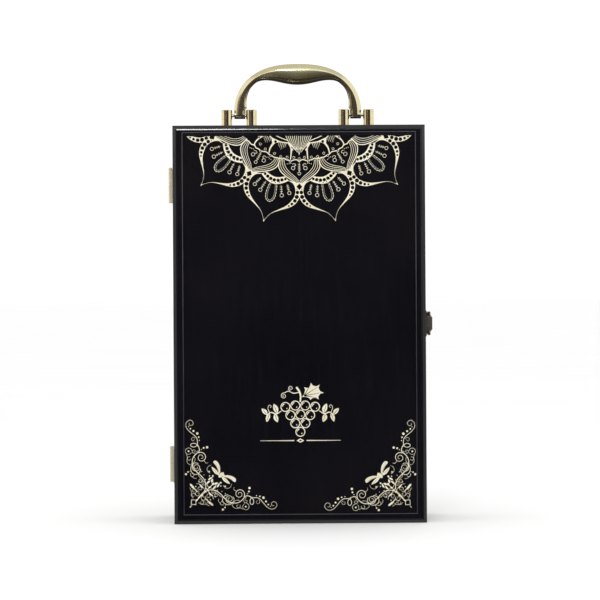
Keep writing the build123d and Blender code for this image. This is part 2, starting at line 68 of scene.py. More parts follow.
# ------------ materials
class Nodes:
    """Adds nodes to a tree. A value is a number, a colour, a vector or another node's output."""

    def __init__(self, tree, coordinates="Object"):
        self.tree = tree
        self.coordinates = self.add("TexCoord").outputs[coordinates]

    def put(self, value, socket):
        if hasattr(value, "is_output"):
            self.tree.links.new(value, socket)
        elif socket.type == "RGBA":
            socket.default_value = (*value, 1)
        else:
            socket.default_value = value

    def add(self, kind, **values):
        node = self.tree.nodes.new("ShaderNode" + kind)
        for key, value in values.items():
            self.put(value, node.inputs[key.replace("_", " ")])
        return node

    def noise(self, scale, detail, rough, distortion=0.0, vector=None):
        node = self.add(
            "TexNoise", Vector=vector or self.coordinates, Scale=scale, Detail=detail,
            Roughness=rough, Distortion=distortion,
        )
        return node.outputs["Fac"]

    def streaks(self, scale, detail, rough):
        """Noise drawn out into streaks by a scale for each axis."""
        drawn = self.add("Mapping", Vector=self.coordinates, Scale=scale).outputs["Vector"]
        return self.noise(1.0, detail, rough, vector=drawn)

    def bands(self, scale, direction, distortion):
        node = self.add("TexWave", Vector=self.coordinates, Scale=scale, Distortion=distortion)
        node.bands_direction = direction
        return node.outputs["Fac"]

    def ramp(self, fac, stops):
        node = self.add("ValToRGB", Fac=fac)
        elements = node.color_ramp.elements
        for element, (place, colour) in zip(elements, (stops[0], stops[-1])):
            element.position, element.color = place, (*colour, 1)
        for place, colour in stops[1:-1]:
            elements.new(place).color = (*colour, 1)
        return node.outputs["Color"]

    def span(self, fac, low, high, start=0.0, end=1.0):
        """Maps start to low and end to high."""
        limits = {"From_Min": start, "From_Max": end, "To_Min": low, "To_Max": high}
        return self.add("MapRange", Value=fac, **limits).outputs["Result"]

    def mix(self, fac, a, b):
        node = self.add("Mix")
        node.data_type = "RGBA"
        for place, value in ((0, fac), (6, a), (7, b)):
            self.put(value, node.inputs[place])
        return node.outputs[2]

    def bump(self, height, distance, strength, below=None):
        node = self.add("Bump", Height=height, Distance=distance, Strength=strength)
        if below is not None:
            self.put(below, node.inputs["Normal"])
        return node.outputs["Normal"]


class Shader(Nodes):
    """A node material with one Principled shader, whose constant values are given by name."""

    def __init__(self, name, **values):
        self.material = bpy.data.materials.new(name)
        self.material.use_nodes = True
        super().__init__(self.material.node_tree)
        self.bsdf = next(n for n in self.tree.nodes if n.type == "BSDF_PRINCIPLED")
        for key, value in values.items():
            self.put(value, self.bsdf.inputs[key.replace("_", " ")])

    def done(self, *values, keys=("Base Color", "Roughness", "Normal")):
        for key, value in zip(keys, values):
            self.put(value, self.bsdf.inputs[key])
        return self.material


def lacquer_material(name, grain, painted_highlight_gain=1):
    """Gloss blue-black lacquer over board, with flow marks and faint grain along one axis. Every
    colour is multiplied by the gain; a gain above 1 is a painted highlight.
    """
    def paint(*rgb):
        return tuple(painted_highlight_gain * v for v in rgb)

    s = Shader(name)
    colour = s.ramp(s.noise(9, 3, 0.55), [
        (0.3, paint(0.0034, 0.0031, 0.0044)),
        (0.52, paint(0.0048, 0.0044, 0.0064)),
        (0.75, paint(0.0066, 0.0058, 0.0072)),
    ])
    streaks = s.streaks(grain, 4, 0.6)
    colour = s.mix(s.span(streaks, 0, 0.5, 0.5, 0.8), colour, paint(0.0095, 0.0088, 0.0108))
    peel = s.noise(210, 2, 0.5)
    normal = s.bump(peel, 3e-5, 0.3, below=s.bump(streaks, 2e-5, 0.35))
    smudge = s.noise(28, 4, 0.6, 0.6)
    return s.done(colour, s.span(smudge, 0.07, 0.17, 0.3, 0.75), normal)


def metal_material(
    name, base, dark, rough, grain, grain_depth, wear=0.35, metallic=1, wave=6e-5
):
    """A plated metal: colour drift, tarnish in blotches, fine polishing lines, slight waves."""
    s = Shader(name, Metallic=metallic)
    drift = s.noise(90, 3, 0.6)
    tarnish = s.noise(420, 4, 0.65, 0.4)
    warm = tuple(b * f for b, f in zip(base, (1, 0.93, 0.8)))
    colour = s.mix(s.span(drift, 0, 1, 0.35, 0.7), base, warm)
    colour = s.mix(s.span(tarnish, 0, wear, 0.52, 0.75), colour, dark)
    waves = s.bump(s.noise(160, 1, 0.4), wave, 0.5)
    normal = s.bump(s.streaks(grain, 3, 0.7), grain_depth, 0.5, below=waves)
    return s.done(colour, s.span(tarnish, *rough, 0.35, 0.75), normal)


def velvet_material():
    """Flocked velvet: short pile with brushed patches, and sheen at glancing angles."""
    s = Shader(
        "velvet", Sheen_Weight=0.55, Sheen_Roughness=0.35, Sheen_Tint=(0.85, 0.22, 0.25),
        Specular_IOR_Level=0.15,
    )
    brushed = s.noise(26, 4, 0.6, 1.2)
    pile = s.noise(1900, 2, 0.7)
    colour = s.ramp(brushed, [
        (0.3, (0.052, 0.0035, 0.0085)), (0.55, (0.085, 0.0055, 0.0125)),
        (0.78, (0.135, 0.009, 0.019)),
    ])
    colour = s.mix(s.span(pile, 0, 0.5, 0.4, 0.75), colour, (0.03, 0.002, 0.005))
    normal = s.bump(pile, 2.5e-4, 0.8, below=s.bump(brushed, 4e-4, 0.25))
    return s.done(colour, s.span(brushed, 0.72, 0.92), normal)


def satin_material():
    """Satin over foam: tight warp threads, soft creases and a broad sheen."""
    s = Shader(
        "satin", Sheen_Weight=0.25, Sheen_Roughness=0.3, Sheen_Tint=(1, 0.45, 0.45),
        Specular_IOR_Level=0.6, Anisotropic=0.35,
    )
    warp = s.bands(620, "X", 0.4)
    weft = s.bands(230, "Z", 0.8)
    creases = s.noise(34, 4, 0.55, 0.8)
    colour = s.ramp(creases, [
        (0.3, (0.13, 0.008, 0.016)), (0.55, (0.175, 0.012, 0.022)), (0.8, (0.215, 0.017, 0.03)),
    ])
    colour = s.mix(s.span(warp, 0, 0.25), colour, (0.09, 0.005, 0.01))
    normal = s.bump(warp, 8e-5, 0.5, below=s.bump(creases, 0.0012, 0.35))
    normal = s.bump(weft, 6e-5, 0.35, below=normal)
    return s.done(colour, s.span(creases, 0.3, 0.42), normal)


def board_material():
    """Dark grey greyboard with paper fibres."""
    s = Shader("greyboard")
    fibres = s.noise(700, 5, 0.7, 2)
    colour = s.ramp(fibres, [
        (0.35, (0.028, 0.026, 0.027)), (0.6, (0.05, 0.047, 0.047)), (0.75, (0.085, 0.08, 0.078)),
    ])
    patches = s.span(s.noise(40, 3, 0.5), 0, 0.35)
    colour = s.mix(patches, colour, (0.03, 0.028, 0.032))
    normal = s.bump(fibres, 1e-4, 0.6)
    return s.done(colour, s.span(fibres, 0.8, 0.95), normal)


def foil_material():
    """Hot-stamped pale gold foil: thin, slightly crinkled, with pinholes of the board's texture."""
    s = Shader("gold_foil", Metallic=0.2)
    speck = s.noise(1500, 2, 0.7)
    colour = s.ramp(s.noise(38, 3, 0.6), [
        (0.3, (0.86, 0.77, 0.54)), (0.5, (0.91, 0.85, 0.65)), (0.72, (0.94, 0.91, 0.77)),
    ])
    colour = s.mix(s.span(speck, 0, 0.3, 0.55, 0.8), colour, (0.55, 0.49, 0.32))
    crinkle = s.bump(s.noise(330, 3, 0.6), 1e-4, 0.35)
    return s.done(colour, s.span(speck, 0.3, 0.46), crinkle)


lacquer_x = lacquer_material("lacquer_along_x", (18, 220, 420))
lacquer_z = lacquer_material("lacquer_along_z", (420, 220, 18))
# Lacquer 6.5 times brighter: a painted highlight for the light line where the frame meets the
# panel.
lacquer_painted_highlight = lacquer_material("lacquer_painted_highlight_edge", (300, 220, 60), 6.5)
gold_cast = metal_material(
    "pale_gold_casting", (0.77, 0.72, 0.49), (0.3, 0.27, 0.19), (0.15, 0.19), (260, 500, 500),
    3e-6, wear=0.2, wave=1e-5,
)
gold_turned = metal_material(
    "pale_gold_turned", (0.79, 0.73, 0.49), (0.3, 0.26, 0.17), (0.06, 0.16), (60, 60, 2600), 1.2e-5
)
brass = metal_material(
    "hinge_brass", (0.82, 0.78, 0.64), (0.3, 0.26, 0.18), (0.26, 0.42), (300, 300, 1400),
    2e-5, wear=0.55, metallic=0.5,
)
bronze = metal_material(
    "antique_bronze", (0.17, 0.15, 0.125), (0.03, 0.024, 0.018), (0.22, 0.5), (700, 700, 700),
    3e-5, wear=0.7, metallic=0.6,
)
steel = metal_material(
    "zinc_steel", (0.56, 0.56, 0.54), (0.2, 0.2, 0.2), (0.2, 0.4), (900, 900, 900), 1e-5
)
velvet = velvet_material()
satin = satin_material()
greyboard = board_material()
foil = foil_material()

# The first start that fits a node's name gives its finish. The last one fits all other boards.
finishes = {
    "upper_hinge": brass, "lower_hinge": brass, "hinge_": brass, "latch_": bronze, "catch_": bronze,
    "handle_post": gold_turned, "handle_": steel, "carry_handle": gold_cast, "bottle_tray": velvet,
    "lid_pad_board": greyboard, "lid_pad": satin, "lid_top_rail": lacquer_x,
    "lid_bottom_rail": lacquer_x, "body_top_board": lacquer_x, "body_bottom_board": lacquer_x,
    "": lacquer_z,
}
for name, node in nodes.items():
    start = next(start for start in finishes if name.startswith(start))
    node.data.materials.clear()
    node.data.materials.append(finishes[start])


# ------------ mesh helpers
def add_mesh(name, bm, material, smooth=None):
    """Makes an object of a bmesh in millimetres. Faces meet softly up to the angle smooth."""
    bmesh.ops.recalc_face_normals(bm, faces=bm.faces)
    bmesh.ops.scale(bm, vec=(MM, MM, MM), verts=bm.verts)
    mesh = bpy.data.meshes.new(name)
    bm.to_mesh(mesh)
    bm.free()
    mesh.materials.append(material)
    if smooth is not None:
        mesh.shade_smooth()
        mesh.set_sharp_from_angle(angle=radians(smooth))
    made = bpy.data.objects.new(name, mesh)
    scene.collection.objects.link(made)
    return made


def skin(bm, rings):
    """Joins each ring of vertices to the next one by quads."""
    for a, b in zip(rings, rings[1:]):
        for i in range(len(a)):
            j = (i + 1) % len(a)
            bm.faces.new([a[i], a[j], b[j], b[i]])


def skin_and_cap(bm, rings):
    skin(bm, rings)
    bm.faces.new(rings[0])
    bm.faces.new(rings[-1])


def circle(sides):
    """The angles of a regular polygon's corners."""
    return [2 * pi * k / sides for k in range(sides)]


def between(a, b, start, end, t):
    return a * ((end - t) / (end - start)) + b * ((t - start) / (end - start))


def smooth_line(points, steps):
    """A centripetal Catmull-Rom line through plane points."""
    p = [Vector(q) for q in points]
    padded = [p[0] * 2 - p[1], *p, p[-1] * 2 - p[-2]]
    out = []
    for p0, p1, p2, p3 in zip(padded, padded[1:], padded[2:], padded[3:]):
        t1 = max((p1 - p0).length, 1e-6) ** 0.5
        t2 = t1 + max((p2 - p1).length, 1e-6) ** 0.5
        t3 = t2 + max((p3 - p2).length, 1e-6) ** 0.5
        for k in range(steps):
            t = t1 + (t2 - t1) * k / steps
            a1 = between(p0, p1, 0, t1, t)
            a2 = between(p1, p2, t1, t2, t)
            a3 = between(p2, p3, t2, t3, t)
            b1, b2 = between(a1, a2, 0, t2, t), between(a2, a3, t1, t3, t)
            out.append(between(b1, b2, t1, t2, t))
    return [tuple(q) for q in out + p[-1:]]


# ------------ foil ornament
PANEL_Y = -55
PANEL_X, PANEL_LOW, PANEL_TOP = 103.25, 9.3, 345.2
PANEL_EDGES = (
    ((0, 0, PANEL_TOP), (0, 0, 1)),
    ((0, 0, PANEL_LOW), (0, 0, -1)),
    ((PANEL_X, 0, 0), (1, 0, 0)),
    ((-PANEL_X, 0, 0), (-1, 0, 0)),
)
FOIL_PROUD, FOIL_SUNK = 0.09, 0.03


class Drawing:
    """A flat drawing in millimetres, painted in order: ink covers, a hole uncovers."""

    def __init__(self, weight=1.0, place=list):
        """place turns the points of strokes, spirals, discs and leaves into millimetres."""
        self.shapes, self.weight, self.place = [], weight, place

    def shape(self, points, ink=True):
        """Adds a closed outline, turned anticlockwise. Four points are put in order first."""
        points = [tuple(q) for q in points]
        if len(points) == 4:
            mx, my = sum(q[0] for q in points) / 4, sum(q[1] for q in points) / 4
            points.sort(key=lambda q: atan2(q[1] - my, q[0] - mx))
        doubled = sum(a[0] * b[1] - b[0] * a[1] for a, b in zip(points, points[1:] + points[:1]))
        if abs(doubled) > 1e-5:
            self.shapes.append((points if doubled > 0 else points[::-1], ink))

    def disc(self, centre, radius, sides=14, ink=True):
        radius *= 0.55 + 0.45 * self.weight
        x, y = self.place([centre])[0]
        self.shape([(x + radius * cos(t), y + radius * sin(t)) for t in circle(sides)], ink)

    def ring(self, centre, radius, width, sides=16):
        self.disc(centre, radius, sides)
        self.disc(centre, radius - width, sides, False)

    def line(self, points, width, end=None, middle=None, closed=False, ink=True):
        """A ribbon whose width runs from width to end, or swells to middle halfway."""
        end = width if end is None else end
        count = len(points)
        lengths = [0.0]
        for a, b in zip(points, points[1:]):
            lengths.append(lengths[-1] + hypot(b[0] - a[0], b[1] - a[1]))
        left, right = [], []
        for i, (x, y) in enumerate(points):
            before = points[i - 1] if closed or i else points[i]
            after = points[(i + 1) % count] if closed or i + 1 < count else points[i]
            dx, dy = after[0] - before[0], after[1] - before[1]
            size = hypot(dx, dy) or 1.0
            share = lengths[i] / (lengths[-1] or 1.0)
            wide = width + (end - width) * share
            if middle is not None:
                wide += (middle - (width + end) / 2) * sin(pi * share)
            wide *= self.weight
            nx, ny = -dy / size * wide / 2, dx / size * wide / 2
            left.append((x + nx, y + ny))
            right.append((x - nx, y - ny))
        for i in range(count if closed else count - 1):
            j = (i + 1) % count
            self.shape([left[i], left[j], right[j], right[i]], ink)

    def stroke(self, points, steps, width, end=None, middle=None, ink=True):
        """A ribbon along the smooth line through points."""
        points = smooth_line(self.place(points), steps)
        self.line(points, width, end, middle, ink=ink)

    def spiral(self, centre, radius, start, turns, shrink, steps, width, end=None):
        """A ribbon that winds in from the radius to shrink times the radius."""
        (x, y), points = self.place([centre])[0], []
        for k in range(steps + 1):
            share = k / steps
            size = radius * (1 - (1 - shrink) * share)
            angle = radians(start + 360 * turns * share)
            points.append((x + size * cos(angle), y + size * sin(angle)))
        self.line(points, width, end)

    def leaf(self, base, tip, width, lean=0.0):
        """A pointed leaf that bends to one side by lean."""
        a, b = [Vector(q) for q in self.place([base, tip])]
        along, across = b - a, Vector((-(b - a).y, (b - a).x)).normalized()
        shares, sizes = (0.0, 0.18, 0.42, 0.7, 0.9, 1.0), (0.0, 0.62, 1.0, 0.8, 0.36, 0.0)
        sides = []
        for way in (1, -1):
            sides.append(smooth_line([
                a + along * s + across * (way * width / 2 * w + lean * sin(pi * s))
                for s, w in zip(shares, sizes)
            ], 4))
        self.shape(sides[0] + sides[1][::-1][1:-1])

    def build(self, name):
        """Turns the drawing into one thin piece of foil on the lid's panel."""
        vertices, faces = [], []
        for points, _ in self.shapes:
            faces.append(list(range(len(vertices), len(vertices) + len(points))))
            vertices += [Vector(q) for q in points]
        found, _, cells, _, _, owners = delaunay_2d_cdt(vertices, [], faces, 1, 1e-4, True)
        bm = bmesh.new()
        made = [bm.verts.new((v.x, PANEL_Y + FOIL_SUNK, v.y)) for v in found]
        for cell, owner in zip(cells, owners):
            if owner and self.shapes[max(owner)][1] and len(set(cell)) > 2:
                try:
                    bm.faces.new([made[i] for i in cell])
                except ValueError:  # the face is there already
                    pass
        for point, outwards in PANEL_EDGES:
            bmesh.ops.bisect_plane(
                bm, geom=bm.verts[:] + bm.edges[:] + bm.faces[:], dist=1e-5, plane_co=point,
                plane_no=outwards, clear_outer=True,
            )
        loose = [v for v in bm.verts if not v.link_faces]
        bmesh.ops.delete(bm, geom=loose, context="VERTS")
        raised = bmesh.ops.extrude_face_region(bm, geom=bm.faces[:])["geom"]
        moved = [g for g in raised if isinstance(g, bmesh.types.BMVert)]
        bmesh.ops.translate(bm, vec=(0, -(FOIL_PROUD + FOIL_SUNK), 0), verts=moved)
        piece = add_mesh(name, bm, foil)
        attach(piece, "lid")


# The half rose at the top, in (radius, angle from a petal's axis) about its centre
ROSE_X, ROSE_Z = 0.35, 389.2


def at(radius, angle, axis=0, side=1):
    turn = radians(axis + side * angle)
    return (ROSE_X + radius * sin(turn), ROSE_Z - radius * cos(turn))


def polar(points, axis=0, side=1):
    return [at(radius, angle, axis, side) for radius, angle in points]


def arch(points, axis):
    """Both halves of a line that is the same on each side of the axis. Its half ends there."""
    return polar(points, axis, -1) + polar(points[-2::-1], axis)


def stem(d, start, end, axis, side, bars, width):
    """A thin stalk with small chevrons across it."""
    a, b = Vector(at(*start, axis, side)), Vector(at(*end, axis, side))
    d.line([tuple(a), tuple(b)], width)
    along = (b - a).normalized()
    across = Vector((-along.y, along.x))
    for k in range(bars):
        tip = a + (b - a) * (0.3 + 0.55 * k / (bars - 1))
        for way in (-1, 1):
            wing = tip + across * way * 1.05 - along * 0.75
            d.line([tuple(tip), tuple(wing)], 0.36, 0.28)


def rose_fan(d):
    """The centre: fine rays from the top edge, double lines and a dark wedge on each side."""
    for k in range(13):
        x = -12.2 + 24.4 * k / 12
        ray = [(x, 347), (x * 0.8, 341.5), (x * 0.5, 336), (x * 0.3, 333)]
        d.stroke(ray, 5, 0.62, 0.3 if k % 2 else 0.42)
    for x in (-2.2, 0, 2.2):
        d.line([(x, 335), at(60.8, 0)], 0.5, 0.25)
    strokes = (
        ([(48.4, 28), (48.5, 18.9), (49.2, 11.5)], 0.7, None),
        ([(50.6, 33), (52.1, 26.2), (52.2, 21), (51.8, 17), (51.2, 10.3)], 0.9, None),
        ([(50.6, 11), (52.6, 9.2), (55.2, 7.4), (60, 6.9), (65.6, 6.8)], 1.7, 0.75),
        ([(51.3, 9.1), (54.5, 5.2), (58.5, 1.6)], 0.7, 0.4),
    )
    for side in (-1, 1):
        for points, width, end in strokes:
            d.stroke(polar(points, 0, side), 6, width, end)
        d.shape(polar([(52.5, 8.6), (57, 5.2), (57.5, 6.9)], 0, side))
        d.disc(at(54.9, 7, 0, side), 0.45, 8, False)


def rose_inner_petals(d):
    """Dark petals beside the fan, with short rays at their tops and a row of rings."""
    second = [(52.4, 21.5), (54.4, 23.9), (57.2, 24.8), (61, 25.2), (65.2, 24.4)]
    third = [(54, 36.3), (58.5, 37.9), (62.5, 38.3), (66.3, 37.4)]
    rings = [
        (63.4, 4.4), (63.9, 9.7), (64.6, 14.7), (63.4, 20.2), (63.2, 28.5), (61.6, 34),
        (57.4, 38.2),
    ]
    for side in (-1, 1):
        d.stroke(polar(second, 0, side), 6, 2.2, 0.8)
        d.shape(polar([(51.6, 18.5), (51.4, 28.5), (56, 25.3), (55.2, 23.4)], 0, side))
        d.disc(at(53.3, 23.2, 0, side), 1.25, ink=False)
        d.stroke(polar(third, 0, side), 6, 1.5, 0.8)
        for k in range(5):
            reach = 58.4 - 1.3 * abs(k - 2)
            d.line(polar([(51.8, 12.8 + 1.8 * k), (reach, 13.4 + 1.45 * k)], 0, side), 0.5, 0.16)
            d.line(polar([(52.2, 28.9 + 1.75 * k), (reach, 28.3 + 1.5 * k)], 0, side), 0.42, 0.14)
        for centre in polar(rings, 0, side):
            d.ring(centre, 1.15, 0.3, 10)
    d.ring(at(64.3, 0), 1.15, 0.3, 10)


def rose_lace(d):
    """The scalloped line under the inner petals, with a bead at each cusp."""
    half = [
        (66.9, 0), (65.6, 1.4), (65.2, 2.6), (65.7, 4.4), (66.9, 6.9), (66.1, 8.4), (66.3, 9.6),
        (65.3, 11.9), (66, 13.4), (67.1, 14.6), (66.3, 17), (66.7, 19.4), (66.2, 21.8),
        (65.9, 24.2), (65.1, 26.4), (65.7, 28.6), (66.6, 30.9), (66.1, 33), (66.6, 35.2),
        (65.4, 37.4), (66.6, 39.8), (66, 42.5), (67, 45),
    ]
    for side in (-1, 1):
        d.stroke(polar(half, 0, side), 4, 0.85)
        for r, a in ((66.9, 6.9), (67, 14.6), (66.2, 22.4), (66.6, 30.9)):
            d.ring(at(r + 0.4, a, 0, side), 1, 0.3, 10)


def rose_ring_petal(d, axis):
    """An ogee petal of four parallel lines, with a stem and three rings inside."""
    outer = [
        (65.6, 14.7), (70, 14.9), (74, 14.3), (77.7, 11.9), (80.8, 8.4), (83.2, 5.1), (85.5, 2.5),
        (88.2, 0.25),
    ]
    inner = [
        (66.3, 11.8), (69.8, 10.9), (72.6, 9.7), (75, 8), (77.2, 6), (79.3, 3.8), (81.5, 1.9),
        (84.4, 0.2),
    ]
    hook = [(71.2, 3.6), (70.2, 2.6), (69.2, 3), (69, 4.4), (69.7, 5.2)]
    for side in (-1, 1):
        for k in range(4):
            share = k / 3
            points = [
                (r0 + (r1 - r0) * share, a0 + (a1 - a0) * share)
                for (r0, a0), (r1, a1) in zip(outer, inner)
            ]
            d.stroke(polar(points, axis, side), 5, 0.42 if k else 0.85)
        d.ring(at(72.9, 4.3, axis, side), 1.75, 0.36)
        d.stroke(polar(hook, axis, side), 3, 0.42, 0.3)
        for k in range(3):
            d.disc(at(68.7 + 0.5 * k, 6.2 + 1.3 * k, axis, side), 0.36, 6)
    stem(d, (67.4, 0), (76.1, 0), axis, 1, 4, 0.34)
    d.ring(at(77.5, 0, axis), 1.5, 0.36)


def rose_lozenge(d, axis):
    """A hollow lozenge over a ring petal's tip."""
    for side in (-1, 1):
        d.line([at(88, 0, axis), at(91, 1.9, axis, side)], 0.8)
    for low, high, half, ink in ((85, 93.8, 2.3, True), (86.3, 92.3, 1.7, False)):
        middle = (low + high) / 2
        d.shape(polar([(low, 0), (middle, half), (high, 0), (middle, -half)], axis), ink)


def rose_outer_petal(d, axis):
    """A broad pointed petal: beaded band, beaded crescent, loop and pendants."""
    outer = [
        (86.5, 15), (91, 15.05), (96.7, 15.2), (99.3, 14.85), (102.3, 14), (105, 12.7),
        (107.2, 11.2), (109.2, 8.9), (111.4, 6.1), (115.3, 2.6), (118.6, 1.25), (122.5, 0.32),
        (124.6, 0),
    ]
    inner = [
        (84, 7.9), (85.1, 9.4), (86.3, 11), (88.9, 12.2), (92.6, 12.8), (95.5, 12.75),
        (98.9, 12.2), (101.4, 11.3), (105, 9.7), (107.7, 8), (110.7, 5.6), (114.2, 3),
        (117.4, 1.5), (121.4, 0.42), (122.9, 0),
    ]
    beads = (
        (91.1, 13.8, 0.9), (94.4, 13.95, 1.65), (98.4, 13.6, 1.85), (101.9, 12.7, 1.65),
        (104.8, 11.3, 1.25), (106.9, 9.9, 0.85),
    )
    for side in (-1, 1):
        edge, back = (smooth_line(polar(line, axis, side), 4) for line in (outer, inner))
        d.shape(edge + back[::-1])
        for r, a, size in beads:
            d.disc(at(r, a, axis, side), size, ink=False)
    low = [(84.4, 8.6), (87.1, 5.5), (88.9, 2.3), (89.4, 0)]
    high = [(81, 5.8), (82, 3.9), (82.8, 1.8), (83.1, 0)]
    d.shape(smooth_line(arch(low, axis), 4) + smooth_line(arch(high, axis), 4)[::-1])
    d.disc(at(86, 0, axis), 1.55, ink=False)
    for r, a, size in ((85.6, 2.25, 1.55), (84.5, 4.4, 1.5), (83.3, 6.4, 1.2)):
        for side in (-1, 1):
            d.disc(at(r, a, axis, side), size, ink=False)
    for a in (1.1, 3.3, 5.3):
        tip = 87.8 - 0.12 * a * a
        for side in (-1, 1):
            notch = [(tip - 0.5, a), (tip + 0.75, a - 0.42), (tip + 0.75, a + 0.42)]
            d.shape(polar(notch, axis, side), False)
    loop = [(88.6, 1.9), (92.5, 2.3), (97, 2.5), (101, 2.35), (104.2, 1.5), (105.6, 0)]
    small = [(88.6, 1.15), (92.5, 1.55), (97, 1.75), (100.8, 1.6), (103.3, 0.95), (104.4, 0)]
    d.stroke(arch(loop, axis), 5, 0.28)
    d.stroke(arch(small, axis), 5, 0.18)
    for point in smooth_line(arch([(r, a + 0.05) for r, a in loop], axis), 3)[2:-2:2]:
        d.disc(point, 0.43, 8)
    pendants = (
        ((89.2, 4.5), (96.4, 5.55), (98.1, 5.75), 1.75),
        ((87.8, 7.9), (93.6, 9.3), (95.3, 9.6), 1.65),
    )
    for side in (-1, 1):
        for start, end, drop, radius in pendants:
            stem(d, start, end, axis, side, 3, 0.28)
            d.ring(at(*drop, axis, side), radius, 0.38)


rose = Drawing()
for axis in (-75, -45, -15, 15, 45, 75):
    rose_outer_petal(rose, axis)
for axis in (-60, -30, 0, 30, 60):
    rose_ring_petal(rose, axis)
    rose_lozenge(rose, axis)
rose_fan(rose)
rose_inner_petals(rose)
rose_lace(rose)
rose.build("foil_rose")

# The corner scrolls, in pixels of the photograph near the panel's lower left corner
CORNER_PIXEL = (184, 512)
PIXEL, LEAN = 0.8925, 0.00576


def local(points):
    """Turns pixels into millimetres from the corner, and takes out the photo's slight lean."""
    offsets = [(x - CORNER_PIXEL[0], CORNER_PIXEL[1] - y) for x, y in points]
    return [((p + q * LEAN) * PIXEL, (q - p * LEAN) * PIXEL) for p, q in offsets]


def scroll_branch(d):
    """The upright branch: stem, spirals, curls and dots."""
    d.stroke([
        (189.5, 420), (186.6, 422.6), (186.2, 426.3), (188.1, 429.9), (191.7, 433.2), (195, 435.8),
        (197.2, 438.7), (197.6, 441.7), (197.7, 444.4), (199.1, 447.4), (199.6, 450.9),
        (196.1, 454.1), (193.6, 457.1), (192.5, 460.7), (192.8, 464.4), (193.9, 468.1),
        (196.9, 471.7), (201.3, 475.8), (205, 480.6), (206, 485.6), (204.9, 490.4),
        (201.3, 494.4), (198, 498.2),
    ], 5, 0.55, 0.9, 1.05)
    d.stroke([
        (189.5, 420), (192.4, 421), (193.4, 423.6), (191.6, 425.6), (189.4, 424.8), (189.6, 423),
    ], 4, 0.6, 0.45)
    for *centre, r in (
        (188.9, 426.6, 0.5), (190.6, 428.8, 0.95), (193.7, 431, 1.2), (197.5, 433.5, 1.55),
        (198.9, 437.1, 0.95), (199.5, 440.4, 0.6), (201.7, 449.4, 0.55), (203.9, 447.9, 1.1),
        (207.3, 447.3, 1.5), (190.4, 471.2, 0.5), (188.2, 471.9, 0.9), (186.2, 474.1, 1.35),
        (209.7, 475.8, 0.7), (213, 475.9, 1.1),
    ):
        d.disc(centre, r * PIXEL, 12)
    d.spiral((201.4, 457.3), 4.7, 122, -1.6, 0.2, 26, 1, 0.55)
    d.spiral((196.6, 467.2), 4.1, 128, 1.7, 0.22, 26, 0.9, 0.5)
    d.stroke([(194.2, 456.6), (195.3, 458.6), (195, 461.2), (193.2, 463)], 4, 0.45)
    x, y = local([(193.9, 445.1)])[0]
    d.line([(x + 2.75 * cos(t), y + 1.7 * sin(t)) for t in circle(18)], 0.85, closed=True)
    d.stroke([(196.6, 444.6), (198, 446.4)], 2, 0.6)
    d.spiral((193.4, 439.3), 2.1, 20, 1, 0.4, 18, 0.42, 0.3)
    d.spiral((194.3, 451.2), 1.9, -60, -1, 0.4, 16, 0.55, 0.4)
    d.stroke([(196, 451.9), (197.4, 451.6), (199, 450.2)], 3, 0.5)
    d.spiral((188.8, 451.2), 3, 10, 0.9, 0.92, 20, 0.5, 0.4)
    d.disc((188.8, 451.2), 0.95, 10)
    d.stroke([
        (186.4, 454.2), (187.6, 456.6), (187.2, 459.4), (187.6, 462.4), (190.2, 464.6),
        (192.2, 463.4),
    ], 4, 0.4)
    d.spiral((189.4, 458.6), 1.8, 60, 0.8, 0.7, 12, 0.42)
    d.spiral((192.9, 474.6), 2.1, 140, 0.95, 0.4, 16, 0.5, 0.32)
    d.stroke([(191.2, 475.9), (194.8, 478.3), (196.9, 478)], 4, 0.42)
    d.stroke([(198.4, 473), (199.2, 476.2), (202.4, 479.4), (203.6, 484.4)], 4, 0.45)
    d.stroke([(195.9 + 4.9 * cos(t), 468.6 + 5.8 * sin(t)) for t in circle(26)[:23]], 1, 0.85, 0.7)
    d.stroke([(204.4, 460.6), (206.2, 463), (208.4, 462.6)], 4, 0.5, 0.3)
    d.spiral((200.8, 481), 2, 40, 1.1, 0.4, 16, 0.45, 0.3)
    for *centre, r in (
        (205.6, 479.4, 0.5), (209.6, 478.9, 0.55), (204.2, 474.8, 0.4), (201.9, 471.4, 0.5),
    ):
        d.disc(centre, r, 8)


def scroll_wing(d):
    """The upper half of the butterfly that sits on the diagonal."""
    d.shape(smooth_line(local([
        (218.6, 474), (218.1, 470.3), (216.6, 466.6), (214.6, 463.9), (213.4, 461.9),
        (214.4, 460.8), (216.6, 460.9), (218.9, 463.7), (220.3, 468.1), (220.2, 472.6),
    ]), 4))
    d.stroke([(218.9, 471.6), (217.6, 467.4), (215.2, 463.4)], 4, 0.3, ink=False)
    d.leaf((219.2, 475.2), (211.7, 466.7), 2.9, 0.2)
    d.line(local([(216.6, 472.4), (213.4, 468.8)]), 0.28, ink=False)
    feeler = [(210.2, 473.4), (208, 471.6), (207.2, 468.8), (208.6, 466.2), (211.4, 465)]
    d.stroke(feeler, 4, 0.45, 0.35)
    d.disc((209.3, 471.5), 0.85, 10)
    d.leaf((211.6, 482.6), (212.9, 478.6), 1.9)
    d.leaf((208.2, 480), (213, 477.2), 1.6, 0.3)


